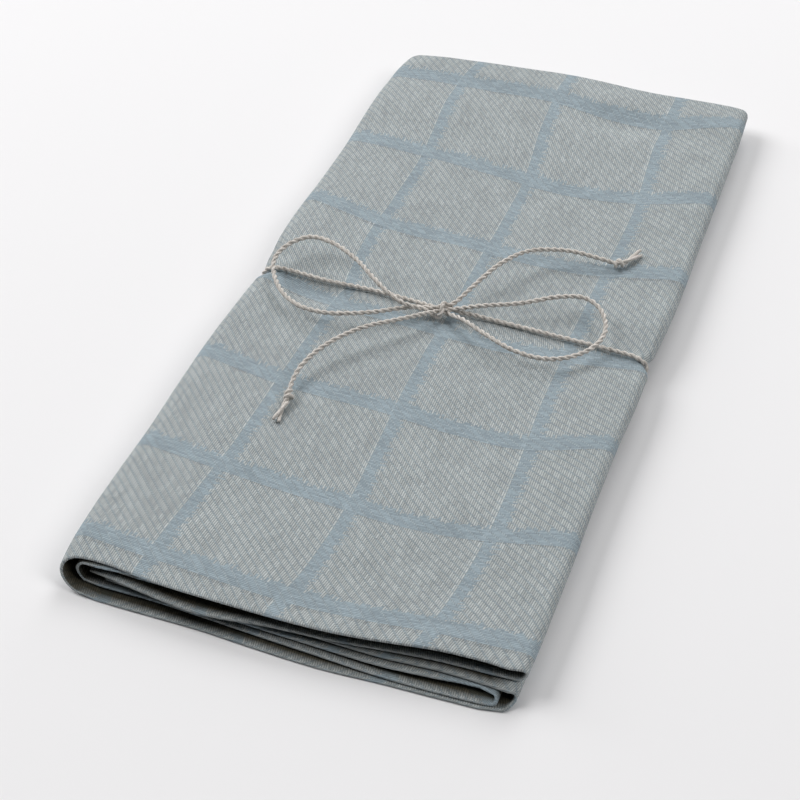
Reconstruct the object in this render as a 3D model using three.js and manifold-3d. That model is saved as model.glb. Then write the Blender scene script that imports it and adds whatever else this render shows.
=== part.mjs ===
// A linen towel folded to eight plies and tied round its middle with twine in a bow.
// Millimetres, +Z up. The cloth's hemmed ends lie at the front of the stack, towards -Y.
// The origin is the middle of the towel's footprint, on the surface that it rests on.
import * as THREE from "three";
import { mergeVertices } from "three/addons/utils/BufferGeometryUtils.js";
import Module from "manifold-3d";

const wasm = await Module();
wasm.setup();

const { lerp, smoothstep } = THREE.MathUtils;

// Towel: its cloth and the folded stack.
const SHEET = 1.0; // thickness of one ply
const PLY_GAP = 0.3; // air between two plies
const PLY_PITCH = SHEET + PLY_GAP;
const STACK_HEIGHT = 8 * SHEET + 7 * PLY_GAP;
const HALF_WIDTH = 62; // of the stack, before its outline is shaped
const PAIR_HALF = SHEET + PLY_GAP / 2; // from the middle of a pair of plies to its outer face
const SLIT_HALF = PLY_GAP / 2; // from the middle of a pair of plies to its inner faces
const EDGE_ROUND = 0.35; // how far the hemmed ends are rounded
const TIGHT_TURN = PLY_PITCH; // radius of a fold that holds nothing
const WIDE_TURN = 3 * PLY_PITCH; // radius of the fold that wraps round the inner layers
const RIGHT_TURN_X = HALF_WIDTH - TIGHT_TURN - PAIR_HALF;
const LEFT_TURN_X = -HALF_WIDTH + WIDE_TURN + PAIR_HALF;
const TIGHT_STEPS = 4;
const WIDE_STEPS = 8;
const FAR_STEPS = 4;

// Twine: one length, round the towel and tied on top.
const TWINE_DIAMETER = 1.6;
const TWINE_SIDES = 8;
const TIE_Y = -1.2; // where it crosses under the towel

// How the stack is pressed out of its flat form.
const CHANNEL_DEPTH = 2.05; // under the towel, where the twine lifts the cloth
const TOP_DENT = 0.35; // on top, where the twine presses it
const TIE_REACH = 12; // from the twine to where the cloth lies flat again
const SIDE_DENT = { x: -44, y: -8, reachX: 18, reachY: 12, depth: 0.6 };
const FAR_TROUGH = { x: 23, y: 114, reachX: 20, reachY: 9, depth: 0.7 };
const FAR_DROP = { from: 112, to: 134, depth: 1.1 };
const FRONT_DROP = { from: -116, to: -134, depth: 0.7 };
const SHOULDER_DROP = { from: -44, to: -60, depth: 0.7 }; // along the wrap, past the twine
const WRAP_LIFT = { from: -50, to: -63, depth: 1.5 }; // the wrap's underside, off the surface
const PLY_WAVE = 0.25; // how far the inner plies wander up and down

// Lengthwise stations, closer where the cloth bends. The folds and hemmed ends lie beyond them.
const STATIONS_Y = [-110, -78, -46, -22, -11, -5, TIE_Y, 3, 9, 20, 46, 80, 103, 113, 119];

// The four panels of the stack from the bottom up. Each row is one crosswise station: where the
// outer and the inner ply end at the front, and where the fold at the far end lies.
const BOTTOM_PANEL = [
  { x: -50, outer: -131.6, inner: -127.9, far: 124.6 },
  { x: -38, outer: -131.5, inner: -127.6, far: 126.6 },
  { x: -22, outer: -131.2, inner: -128.1, far: 128.6 },
  { x: -5, outer: -131.8, inner: -128.8, far: 130.2 },
  { x: 12, outer: -132.0, inner: -129.3, far: 130.6 },
  { x: 28, outer: -130.9, inner: -129.7, far: 130.3 },
  { x: 41, outer: -130.3, inner: -129.4, far: 131.2 },
  { x: 52, outer: -129.6, inner: -128.9, far: 131.6 },
];
const THIRD_PANEL = [
  { x: -50, outer: -125.8, inner: -126.3, far: 123.6 },
  { x: -38, outer: -125.9, inner: -126.6, far: 125.4 },
  { x: -22, outer: -125.7, inner: -127.0, far: 127.2 },
  { x: -5, outer: -125.7, inner: -127.3, far: 128.9 },
  { x: 12, outer: -125.8, inner: -127.5, far: 129.4 },
  { x: 28, outer: -125.8, inner: -127.7, far: 129.4 },
  { x: 41, outer: -124.9, inner: -126.7, far: 130.0 },
  { x: 52, outer: -124.9, inner: -125.6, far: 130.6 },
];
const SECOND_PANEL = [
  { x: -50, outer: -127.1, inner: -125.5, far: 124.0 },
  { x: -38, outer: -128.9, inner: -126.0, far: 126.0 },
  { x: -22, outer: -130.4, inner: -125.0, far: 128.0 },
  { x: -5, outer: -127.8, inner: -123.5, far: 129.5 },
  { x: 12, outer: -126.2, inner: -122.0, far: 130.0 },
  { x: 28, outer: -124.1, inner: -120.5, far: 129.8 },
  { x: 41, outer: -122.8, inner: -119.5, far: 130.6 },
  { x: 52, outer: -122.3, inner: -118.8, far: 131.2 },
];
const TOP_PANEL = [
  { x: -50, outer: -126.1, inner: -126.8, far: 125.1 },
  { x: -38, outer: -127.3, inner: -125.5, far: 126.9 },
  { x: -22, outer: -127.8, inner: -123.5, far: 128.6 },
  { x: -5, outer: -127.5, inner: -122.5, far: 130.6 },
  { x: 12, outer: -126.7, inner: -121.5, far: 130.9 },
  { x: 28, outer: -124.7, inner: -120.5, far: 130.4 },
  { x: 41, outer: -122.8, inner: -120.0, far: 131.5 },
  { x: 52, outer: -122.0, inner: -119.3, far: 132.0 },
];

// The same at the start, middle and end of each lengthwise fold, in the order of the cloth.
const UPPER_RIGHT_FOLD = [
  { outer: -121.9, inner: -117.8, far: 131.0 },
  { outer: -120.9, inner: -117.3, far: 131.0 },
  { outer: -121.8, inner: -118.2, far: 131.6 },
];
const LEFT_FOLD = [
  { outer: -126.6, inner: -127.0, far: 123.8 },
  { outer: -129.0, inner: -127.2, far: 122.8 },
  { outer: -131.3, inner: -127.8, far: 123.6 },
];
const LOWER_RIGHT_FOLD = [
  { outer: -128.4, inner: -128.4, far: 131.2 },
  { outer: -124.8, inner: -127.7, far: 130.6 },
  { outer: -125.3, inner: -126.4, far: 130.6 },
];

// The outline seen from above: where the folded sides lie along the towel.
const LEFT_OUTLINE = [
  { y: -132, x: -61.8 },
  { y: -124, x: -62.9 },
  { y: -110, x: -63.5 },
  { y: -78, x: -62.5 },
  { y: -41, x: -62.4 },
  { y: -22, x: -61.6 },
  { y: -11, x: -61.2 },
  { y: -5, x: -60.5 },
  { y: TIE_Y, x: -59.0 },
  { y: 3, x: -60.4 },
  { y: 9, x: -61.3 },
  { y: 102, x: -61.5 },
  { y: 115, x: -60.6 },
  { y: 126, x: -58.5 },
];
const RIGHT_OUTLINE = [
  { y: -132, x: 62.4 },
  { y: -110, x: 63.5 },
  { y: -92, x: 62.5 },
  { y: -61, x: 61.6 },
  { y: -11, x: 61.3 },
  { y: -5, x: 60.9 },
  { y: TIE_Y, x: 59.6 },
  { y: 3, x: 60.5 },
  { y: 69, x: 60.4 },
  { y: 90, x: 59.4 },
  { y: 118, x: 58.9 },
  { y: 131, x: 58.0 },
];

// Routes of the twine's middle line: x, y, z, closer together where it bends.
const LEFT_TAIL = [
  [-29.6, -62.4, 11.5], [-29.2, -56.4, 12.3], [-30.2, -51.4, 13.0], [-29.9, -43.4, 14.0],
  [-26.4, -33.8, 15.4], [-19.2, -24.2, 16.4], [-10.2, -15.8, 16.0], [-5.8, -11.0, 15.0],
  [-1.6, -4.6, 13.4],
];
const LEFT_LOOP = [
  [-1.6, -3.6, 13.4], [-11.4, -7.2, 15.2], [-21.2, -4.4, 17.0], [-30.4, 2.6, 17.8],
  [-40.4, 7.6, 17.8], [-48.6, 9.2, 16.6], [-53.8, 5.6, 15.2], [-55.8, -0.8, 14.2],
  [-53.4, -7.4, 13.7], [-47.6, -14.4, 13.7], [-40.4, -18.6, 14.0], [-31.4, -18.9, 14.3],
  [-20.6, -14.6, 14.4], [-10.2, -7.6, 14.0], [-1.6, -4.0, 13.4],
];
const BAND = [
  [-1.4, -3.4, 12.6], [-9.0, -1.8, 11.4], [-22.4, -0.5, 10.9], [-40.0, -1.4, 10.9],
  [-53.4, -0.7, 10.9], [-57.4, -1.0, 10.5], [-59.5, -1.1, 8.8], [-60.3, -1.2, 5.8],
  [-59.5, -1.2, 2.9], [-57.2, -1.2, 1.4], [-53.6, -1.2, 0.86], [0.0, -1.2, 0.86],
  [57.0, -1.2, 0.86], [60.2, -1.2, 1.5], [61.0, -1.3, 3.4], [61.0, -1.4, 6.6],
  [60.7, -1.8, 9.4], [58.7, -1.7, 10.85], [53.8, -1.2, 10.95], [34.0, -1.2, 10.9],
  [12.0, -1.8, 10.9], [5.0, -2.2, 11.4], [-0.6, -3.2, 12.6],
];
const RIGHT_LOOP = [
  [-0.8, -3.8, 13.4], [9.4, -0.8, 14.2], [19.8, 4.4, 14.8], [30.0, 10.4, 15.5],
  [37.0, 12.8, 15.4], [42.4, 10.4, 14.8], [46.2, 3.6, 14.0], [45.6, -4.0, 13.7],
  [40.4, -11.4, 13.7], [33.6, -15.2, 14.0], [25.0, -15.4, 14.3], [15.2, -12.4, 14.4],
  [5.8, -7.0, 14.0], [-0.4, -4.6, 13.4],
];
const RIGHT_TAIL = [
  [-0.8, -3.2, 13.4], [1.4, -0.4, 15.0], [6.0, 8.2, 16.9], [9.4, 16.8, 17.4],
  [15.6, 26.4, 16.6], [26.4, 31.9, 15.5], [37.0, 33.4, 14.2], [41.4, 34.2, 13.3],
  [46.0, 42.9, 12.3],
];

// Knots as plain lumps: their middles, half sizes and headings about +Z in degrees.
const BOW_KNOT = { at: [-1.6, -4.0, 13.2], half: [3.4, 1.7, 1.9], heading: 5 };
const LEFT_END_KNOT = { at: [-29.9, -53.4, 12.7], half: [1.5, 2.6, 1.5], heading: -10 };
const RIGHT_END_KNOT = { at: [41.9, 35.0, 13.3], half: [2.3, 1.5, 1.5], heading: 40 };

// Rises to 1 at the middle and is 0 from a distance of 1 on.
function bump(distance) {
  const t = Math.min(Math.abs(distance), 1);
  return (1 - t * t) ** 2;
}

// Grows from 0 to 1 between two places, in either direction.
function ramp(value, { from, to }) {
  return smoothstep((value - from) / (to - from), 0, 1);
}

function spot(x, y, { x: middleX, y: middleY, reachX, reachY, depth }) {
  return depth * bump((x - middleX) / reachX) * bump((y - middleY) / reachY);
}

function outlineX(rows, y) {
  const next = rows.findIndex((row) => row.y > y);
  if (next === 0) return rows[0].x;
  if (next < 0) return rows.at(-1).x;
  const [a, b] = [rows[next - 1], rows[next]];
  return lerp(a.x, b.x, (y - a.y) / (b.y - a.y));
}

function undersideZ(x, y) {
  const channel = CHANNEL_DEPTH * bump((y - TIE_Y) / TIE_REACH);
  return Math.max(channel, WRAP_LIFT.depth * ramp(x, WRAP_LIFT));
}

function topZ(x, y) {
  const pastTwine = smoothstep(y, 20, 60);
  return (
    STACK_HEIGHT -
    TOP_DENT * bump((y - TIE_Y) / TIE_REACH) -
    spot(x, y, SIDE_DENT) -
    spot(x, y, FAR_TROUGH) -
    FAR_DROP.depth * ramp(y, FAR_DROP) -
    FRONT_DROP.depth * ramp(y, FRONT_DROP) -
    SHOULDER_DROP.depth * ramp(x, SHOULDER_DROP) * pastTwine
  );
}

// Takes a point of the even stack to where the towel's outline, dents and channel put it.
function settled(x, y, z) {
  const left = outlineX(LEFT_OUTLINE, y);
  const right = outlineX(RIGHT_OUTLINE, y);
  const across = lerp(left, right, (x + HALF_WIDTH) / (2 * HALF_WIDTH));
  const share = z / STACK_HEIGHT;
  const wave = PLY_WAVE * Math.sin(Math.PI * share) * Math.sin(across / 17 + y / 40);
  const bottom = undersideZ(across, y);
  return [across, y, lerp(bottom, topZ(across, y), share) + wave];
}

// Crosswise stations of one panel. The outer ply faces up or down.
function panel(rows, level, facing) {
  const z = PAIR_HALF + 2 * PLY_PITCH * level;
  return rows.map((row) => ({ ...row, z, normalX: 0, normalZ: facing }));
}

// Crosswise stations round one lengthwise fold, whose outer ply faces away from its middle.
function fold(rows, x, z, radius, startDegrees, steps) {
  const half = steps / 2;
  return Array.from({ length: steps + 1 }, (_, i) => {
    const angle = THREE.MathUtils.degToRad(startDegrees + (180 * i) / steps);
    const before = rows[Math.min(Math.floor(i / half), 1)];
    const after = rows[rows.indexOf(before) + 1];
    const share = i / half - rows.indexOf(before);
    return {
      x: x + radius * Math.cos(angle),
      z: z + radius * Math.sin(angle),
      normalX: Math.cos(angle),
      normalZ: Math.sin(angle),
      outer: lerp(before.outer, after.outer, share),
      inner: lerp(before.inner, after.inner, share),
      far: lerp(before.far, after.far, share),
    };
  });
}

// The closed outline of a pair of plies at one station: y, and the distance from the pair's
// middle. The two rails run from the outer ply's end over the far fold to the inner ply's end.
function pairOutline({ outer, inner, far }) {
  const turnY = far - PAIR_HALF;
  const rail = (distance) => [
    [outer + EDGE_ROUND, distance],
    ...STATIONS_Y.map((y) => [y, distance]),
    ...Array.from({ length: FAR_STEPS + 1 }, (_, i) => {
      const angle = Math.PI * (0.5 - i / FAR_STEPS);
      return [turnY + distance * Math.cos(angle), distance * Math.sin(angle)];
    }),
    ...STATIONS_Y.toReversed().map((y) => [y, -distance]),
    [inner + EDGE_ROUND, -distance],
  ];
  const middle = (PAIR_HALF + SLIT_HALF) / 2;
  return [
    [outer, middle],
    ...rail(PAIR_HALF),
    [inner, -middle],
    ...rail(SLIT_HALF).reverse(),
  ];
}

function towelGeometry() {
  const lowFold = PAIR_HALF + PLY_PITCH;
  const highFold = lowFold + 4 * PLY_PITCH;
  const stations = [
    ...panel(SECOND_PANEL, 2, -1),
    ...fold(UPPER_RIGHT_FOLD, RIGHT_TURN_X, highFold, TIGHT_TURN, -90, TIGHT_STEPS),
    ...panel(TOP_PANEL, 3, 1).reverse(),
    ...fold(LEFT_FOLD, LEFT_TURN_X, STACK_HEIGHT / 2, WIDE_TURN, 90, WIDE_STEPS),
    ...panel(BOTTOM_PANEL, 0, -1),
    ...fold(LOWER_RIGHT_FOLD, RIGHT_TURN_X, lowFold, TIGHT_TURN, -90, TIGHT_STEPS),
    ...panel(THIRD_PANEL, 1, 1).reverse(),
  ];
  const rings = stations.map((station) =>
    pairOutline(station).map(([y, distance]) =>
      settled(station.x + distance * station.normalX, y, station.z + distance * station.normalZ),
    ),
  );
  const count = rings[0].length;
  const index = [];
  for (let i = 0; i + 1 < rings.length; i++) {
    for (let j = 0; j < count; j++) {
      const k = (j + 1) % count;
      const [a, b, c, d] = [i * count + j, i * count + k, (i + 1) * count + k, (i + 1) * count + j];
      index.push(a, c, d, a, b, c);
    }
  }
  // The two free side edges are closed between their rails, from the outer ply's end on.
  const last = (rings.length - 1) * count;
  for (let j = 0; j < count / 2; j++) {
    const [a, b, c, d] = [j, j + 1, count - j - 1, (count - j) % count];
    index.push(a, c, b, last + a, last + b, last + c);
    if (a !== d) index.push(a, d, c, last + a, last + c, last + d);
  }
  const geometry = new THREE.BufferGeometry();
  geometry.setAttribute("position", new THREE.Float32BufferAttribute(rings.flat(2), 3));
  geometry.setIndex(index);
  geometry.computeVertexNormals();
  return geometry;
}

// A curve whose steps follow its own points instead of equal lengths.
class Route extends THREE.CatmullRomCurve3 {
  getUtoTmapping(u) {
    return u;
  }
}

function strandGeometry(points) {
  const section = new THREE.Shape();
  for (let i = 0; i < TWINE_SIDES; i++) {
    const angle = (2 * Math.PI * (i + 0.5)) / TWINE_SIDES;
    const [x, y] = [Math.cos(angle), Math.sin(angle)].map((v) => (v * TWINE_DIAMETER) / 2);
    if (i) section.lineTo(x, y);
    else section.moveTo(x, y);
  }
  const extrudePath = new Route(points.map((point) => new THREE.Vector3(...point)));
  return new THREE.ExtrudeGeometry(section, { steps: points.length - 1, extrudePath });
}

function knotGeometry({ at, half, heading }) {
  return new THREE.SphereGeometry(1, 8, 6)
    .scale(...half)
    .rotateZ(THREE.MathUtils.degToRad(heading))
    .translate(...at);
}

function solidOf(geometry) {
  geometry.deleteAttribute("normal");
  geometry.deleteAttribute("uv");
  const merged = mergeVertices(geometry, 1e-4);
  const vertProperties = merged.attributes.position.array;
  const triVerts = new Uint32Array(merged.index.array);
  return new wasm.Manifold(new wasm.Mesh({ numProp: 3, vertProperties, triVerts }));
}

function joined(geometries) {
  const mesh = geometries
    .map(solidOf)
    .reduce((whole, next) => whole.add(next))
    .getMesh();
  const geometry = new THREE.BufferGeometry();
  geometry.setAttribute("position", new THREE.BufferAttribute(mesh.vertProperties, 3));
  geometry.setIndex(new THREE.BufferAttribute(mesh.triVerts, 1));
  geometry.computeVertexNormals();
  return geometry;
}

function twineGeometry() {
  const strands = [LEFT_TAIL, LEFT_LOOP, BAND, RIGHT_LOOP, RIGHT_TAIL].map(strandGeometry);
  const knots = [BOW_KNOT, LEFT_END_KNOT, RIGHT_END_KNOT].map(knotGeometry);
  return joined([...knots, ...strands]);
}

function piece(name, geometry, color, roughness) {
  const material = new THREE.MeshStandardMaterial({ color, roughness, metalness: 0 });
  const mesh = new THREE.Mesh(geometry, material);
  mesh.name = name;
  return mesh;
}

const tiedTowel = new THREE.Group();
tiedTowel.add(piece("towel_cloth", towelGeometry(), "#97a1a6", 0.9));
tiedTowel.add(piece("twine_tie", twineGeometry(), "#b5a48c", 0.95));

export default tiedTowel;
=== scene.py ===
"""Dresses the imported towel: damask linen in eight plies, tied with two-ply twine in a bow."""

import logging
import math
from dataclasses import dataclass, field
from enum import Enum

import bpy
import numpy as np
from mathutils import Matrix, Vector


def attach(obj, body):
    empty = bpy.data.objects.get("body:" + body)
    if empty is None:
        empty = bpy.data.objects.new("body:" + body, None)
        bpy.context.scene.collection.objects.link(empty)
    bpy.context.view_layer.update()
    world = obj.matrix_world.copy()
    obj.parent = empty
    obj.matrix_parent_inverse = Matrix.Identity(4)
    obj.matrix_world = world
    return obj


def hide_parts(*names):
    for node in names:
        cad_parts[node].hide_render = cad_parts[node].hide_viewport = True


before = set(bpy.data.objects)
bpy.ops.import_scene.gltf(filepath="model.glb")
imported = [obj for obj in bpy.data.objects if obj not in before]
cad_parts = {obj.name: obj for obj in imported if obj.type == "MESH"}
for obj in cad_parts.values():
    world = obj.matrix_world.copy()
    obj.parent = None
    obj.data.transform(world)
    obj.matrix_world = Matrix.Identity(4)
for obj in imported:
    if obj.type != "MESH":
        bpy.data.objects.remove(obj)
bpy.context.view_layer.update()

LOG = logging.getLogger("towel")
MM = 0.001
ROOT_BODY = "root"

Point = tuple[float, float, float]
Row = tuple[float, ...]


class Finish(Enum):
    """The record's two material slots by name; nothing in this script uses them."""

    LINEN = "linen"
    TWINE = "twine"


class Strand(Enum):
    """Where a strand's fibres start in the finish, so that no two kinds look alike."""

    PLY = 4.0
    KNOT = 9.0
    HAIR = 15.0


class ClothSide(Enum):
    """Which side of the folded pair a face is on: the skin outside it, or the inside, which gets
    painted shade.
    """

    SKIN = 0.0
    INSIDE = 1.0


def linear_colour(code: str) -> tuple[float, float, float, float]:
    """Turns an sRGB hex colour to linear.

    Args:
        code: six hex digits after a hash.

    Returns:
        Red, green, blue and an alpha of 1.
    """
    parts = [int(code[i : i + 2], 16) / 255 for i in (1, 3, 5)]
    red, green, blue = (
        part / 12.92 if part <= 0.04045 else ((part + 0.055) / 1.055) ** 2.4 for part in parts
    )
    return red, green, blue, 1.0


def add_node(
    tree: bpy.types.NodeTree,
    kind: str,
    settings: dict[str | int, object] | None = None,
    links: dict[str | int, bpy.types.NodeSocket] | None = None,
) -> bpy.types.Node:
    """Adds a node with its settings and links.

    Args:
        tree: the material's or world's nodes.
        kind: the node's type without its ShaderNode prefix.
        settings: values by property name, or by the number or name of an input.
        links: sockets that feed an input, by its number or name.

    Returns:
        The new node.
    """
    node = tree.nodes.new("ShaderNode" + kind)
    for key, value in (settings or {}).items():
        if isinstance(key, str) and hasattr(node, key):
            setattr(node, key, value)
        else:
            node.inputs[key].default_value = value
    for key, socket in (links or {}).items():
        tree.links.new(socket, node.inputs[key])
    return node


def add_rows(
    tree: bpy.types.NodeTree,
    rows: tuple[tuple, ...],
    known: dict[str, bpy.types.NodeSocket],
) -> dict[str, bpy.types.NodeSocket]:
    """Adds a table of nodes, each of which may use the ones above it.

    Args:
        tree: the material's nodes.
        rows: name, kind, settings, and links by the names of earlier rows. A kind in capitals
            is the operation of a Math node.
        known: sockets that the rows may name, which the new ones join.

    Returns:
        The first output of each row by its name, with the known ones.
    """
    for name, kind, settings, links in rows:
        if kind.isupper():
            kind, settings = "Math", {"operation": kind, **settings}
        sockets = {key: known[source] for key, source in links.items()}
        known[name] = add_node(tree, kind, settings, sockets).outputs[0]
    return known


def new_material(name: str) -> bpy.types.Material:
    """Makes a node material with no nodes in it.

    Args:
        name: the material's name.

    Returns:
        The material.
    """
    material = bpy.data.materials.new(name)
    material.use_nodes = True
    material.node_tree.nodes.clear()
    return material


def eased(at: np.ndarray, places: np.ndarray, values: np.ndarray) -> np.ndarray:
    """Reads a table at new places along a smooth curve through its rows.

    Args:
        at: where to read.
        places: the table's places, rising.
        values: its value at each place.

    Returns:
        The values, which keep the first and last row's beyond the table.
    """
    places = np.asarray(places, float)
    values = np.asarray(values, float)
    slopes = np.gradient(values, places)
    k = np.clip(np.searchsorted(places, at) - 1, 0, len(places) - 2)
    span = places[k + 1] - places[k]
    t = np.clip((at - places[k]) / span, 0, 1)
    start = (1 + 2 * t) * (1 - t) ** 2 * values[k] + t * (1 - t) ** 2 * span * slopes[k]
    end = t**2 * (3 - 2 * t) * values[k + 1] + t**2 * (t - 1) * span * slopes[k + 1]
    return start + end


def bump(distance: np.ndarray) -> np.ndarray:
    """Rises to 1 at the middle and is 0 from a distance of 1 on."""
    return (1 - np.minimum(np.abs(distance), 1) ** 2) ** 2


def ramp(value: np.ndarray, start: float, end: float) -> np.ndarray:
    """Grows from 0 to 1 between two places, in either direction."""
    t = np.clip((value - start) / (end - start), 0, 1)
    return t * t * (3 - 2 * t)


def build_piece(
    name: str, points: np.ndarray, faces: np.ndarray | list, material: bpy.types.Material
) -> bpy.types.Object:
    """Makes a smooth mesh piece from points in millimetres.

    Args:
        name: the piece's name.
        points: one row for each vertex.
        faces: one row of vertex numbers for each face.
        material: its finish.

    Returns:
        The new object, linked to the scene.
    """
    mesh = bpy.data.meshes.new(name)
    mesh.from_pydata((points * MM).tolist(), [], [list(map(int, face)) for face in faces])
    mesh.shade_smooth()
    mesh.materials.append(material)
    piece = bpy.data.objects.new(name, mesh)
    bpy.context.scene.collection.objects.link(piece)
    return piece


@dataclass(frozen=True)
class MatteSurface:
    """A dull surface with a fine relief, as each finish here has."""

    roughness: float = 0.8
    specular: float = 0.3
    relief: float = 0.1  # mm
    relief_strength: float = 0.5

    def close(
        self,
        tree: bpy.types.NodeTree,
        height: bpy.types.NodeSocket,
        colour: bpy.types.NodeSocket | tuple[float, ...],
    ) -> None:
        """Adds the relief, the shader and the output.

        Args:
            tree: the material's nodes.
            height: the relief's pattern.
            colour: the pattern of the colour, or one linear colour.
        """
        relief = {"Distance": self.relief * MM, "Strength": self.relief_strength}
        settings = {"Roughness": self.roughness, "Specular IOR Level": self.specular}
        lift = add_node(tree, "Bump", relief, {"Height": height})
        links = {"Normal": lift.outputs[0]}
        holder = settings if isinstance(colour, tuple) else links
        holder["Base Color"] = colour
        shader = add_node(tree, "BsdfPrincipled", settings, links)
        add_node(tree, "OutputMaterial", {}, {"Surface": shader.outputs[0]})


@dataclass(frozen=True)
class DamaskLinen(MatteSurface):
    """Linen damask, woven in two colours and washed, unpressed.

    The warp is undyed flax and the weft is dyed blue-grey. The field shows four picks of warp
    in five, so it is pale and ribbed. In the check's bands the weave is turned, so that they
    are bluer and smoother.
    """

    warp_colour: str = "#b3b8b8"
    weft_colour: str = "#9ba9b1"
    # Painted shade between the threads, where the weave sinks.
    gap_shade_colour: str = "#687073"
    # Painted shade, dark and warm, for the cloth inside the folds and at the hems.
    fold_shade_colour: str = "#6a6150"
    warp_pitch: float = 0.61  # mm
    weft_pitch: float = 0.52  # mm
    repeat: float = 5.0  # threads in one repeat of the satin
    tie_share: float = 0.7  # of its cell that the narrow tie of the other thread covers
    band_tie_share: float = 0.25  # the same in the bands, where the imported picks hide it
    check: float = 38.1  # mm from band to band
    half_band_across: float = 2.05  # mm, bands that run along the towel
    half_band_along: float = 3.0  # mm, bands that run across it
    edge_half: float = 0.35  # mm, half the one or two threads at a band's first edge, pale along the towel, with a painted shadow under them across it
    edge_short: float = 1.4  # mm that a band's ragged last edge stays back by, at most
    edge_long: float = 0.9  # mm that it goes beyond, at most
    stray: float = 0.35  # mm that a thread wanders to either side
    slubs: float = 0.06  # thick places in a millimetre of thread
    relief: float = 0.16  # mm
    relief_strength: float = 0.5
    roughness: float = 0.86
    specular: float = 0.25

    def weave_rows(self) -> tuple[tuple, ...]:
        """The nodes that work out which thread lies on top, and how high.

        Returns:
            Rows for add_rows.
        """
        rows = [
            ("drift", "TexNoise", {"Scale": 0.045, "Detail": 1.0}, {"Vector": "place"}),
            ("wander", "MapRange", {3: -self.stray, 4: self.stray}, {0: "drift"}),
        ]
        for one, way, shift, pitch in (
            ("end", "across", "ADD", self.warp_pitch),
            ("pick", "along", "SUBTRACT", self.weft_pitch),
        ):
            rows += [
                (f"{way}_in", shift, {}, {0: way, 1: "wander"}),
                (f"{one}s", "DIVIDE", {1: pitch}, {0: f"{way}_in"}),
                (f"{one}_number", "FLOOR", {}, {0: f"{one}s"}),
                (f"in_{one}", "FRACT", {}, {0: f"{one}s"}),
                # Height over the thread's width.
                (f"{one}_arc", "MULTIPLY", {1: math.pi}, {0: f"in_{one}"}),
                (f"{one}_round", "SINE", {}, {0: f"{one}_arc"}),
            ]
        span = {1: 1 / self.repeat, 3: 0.0, 4: math.pi}
        for thread, number, run in (
            ("warp", "end_number", "picks"),
            ("weft", "pick_number", "ends"),
        ):
            rows += [
                # Where a point stands in the five-thread repeat, along the thread.
                (f"{thread}_run", "ADD", {}, {0: number, 1: run}),
                (f"{thread}_part", "DIVIDE", {1: self.repeat}, {0: f"{thread}_run"}),
                (f"{thread}_float", "FRACT", {}, {0: f"{thread}_part"}),
                (f"{thread}_order", "FLOOR", {}, {0: f"{thread}_part"}),
                # A float is highest in its middle.
                (f"{thread}_span", "MapRange", span, {0: f"{thread}_float"}),
                (f"{thread}_arch", "SINE", {}, {0: f"{thread}_span"}),
            ]
        rows.append(("tie", "LESS_THAN", {1: 1 / self.repeat}, {0: "warp_float"}))
        return tuple(rows)

    def band_rows(
        self, way: str, thread: str, other: str, pitch: float, half_band: float
    ) -> tuple[tuple, ...]:
        """The nodes that find the bands which run one way, thread by thread.

        A band starts on a straight marked thread and ends raggedly.

        Args:
            way: the name that the rows start with.
            thread: the row that numbers the threads along the band.
            other: the row that numbers the threads across it.
            pitch: from thread to thread, in millimetres.
            half_band: half the band's width, in millimetres.

        Returns:
            Rows for add_rows.
        """
        half = self.check / 2
        least, most = half_band - self.edge_short, half_band + self.edge_long
        place, signed, luck = f"{way}_place", f"{way}_signed", f"{way}_luck"
        return (
            (place, "MULTIPLY", {1: pitch}, {0: thread}),
            (signed, "WRAP", {1: half, 2: -half}, {0: place}),
            (luck, "TexWhiteNoise", {"noise_dimensions": "1D"}, {"W": other}),
            (f"{way}_reach", "MapRange", {3: least, 4: most}, {0: luck}),
            (f"{way}_end", "LESS_THAN", {}, {0: signed, 1: f"{way}_reach"}),
            (f"{way}_start", "GREATER_THAN", {1: -half_band}, {0: signed}),
            (f"{way}_band", "MULTIPLY", {}, {0: f"{way}_start", 1: f"{way}_end"}),
            (
                f"{way}_edge",
                "COMPARE",
                {1: -half_band - self.edge_half, 2: self.edge_half},
                {0: signed},
            ),
        )

    def check_rows(self) -> tuple[tuple, ...]:
        """The nodes that say which thread system lies on top.

        Returns:
            Rows for add_rows.
        """
        warp_wise = ("across", "end_number", "pick_number", self.warp_pitch, self.half_band_across)
        weft_wise = ("along", "pick_number", "end_number", self.weft_pitch, self.half_band_along)
        return (
            *self.band_rows(*warp_wise),
            *self.band_rows(*weft_wise),
            ("band", "MAXIMUM", {}, {0: "across_band", 1: "along_band"}),
            ("differ", "SUBTRACT", {}, {0: "band", 1: "tie"}),
            ("weft_top", "ABSOLUTE", {}, {0: "differ"}),
            ("tie_shown", "MapRange", {3: self.tie_share, 4: self.band_tie_share}, {0: "band"}),
            ("part_tie", "MULTIPLY", {}, {0: "tie", 1: "tie_shown"}),
            ("part_off", "SUBTRACT", {}, {0: "band", 1: "part_tie"}),
            ("weft_share", "ABSOLUTE", {}, {0: "part_off"}),
        )

    def look_rows(self) -> tuple[tuple, ...]:
        """The nodes that work out the height and the uneven tone.

        Returns:
            Rows for add_rows.
        """
        rows = []
        flat_noise = {"noise_dimensions": "2D"}
        soft_noise = {"Scale": 1.0, "Detail": 1.0}
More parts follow.
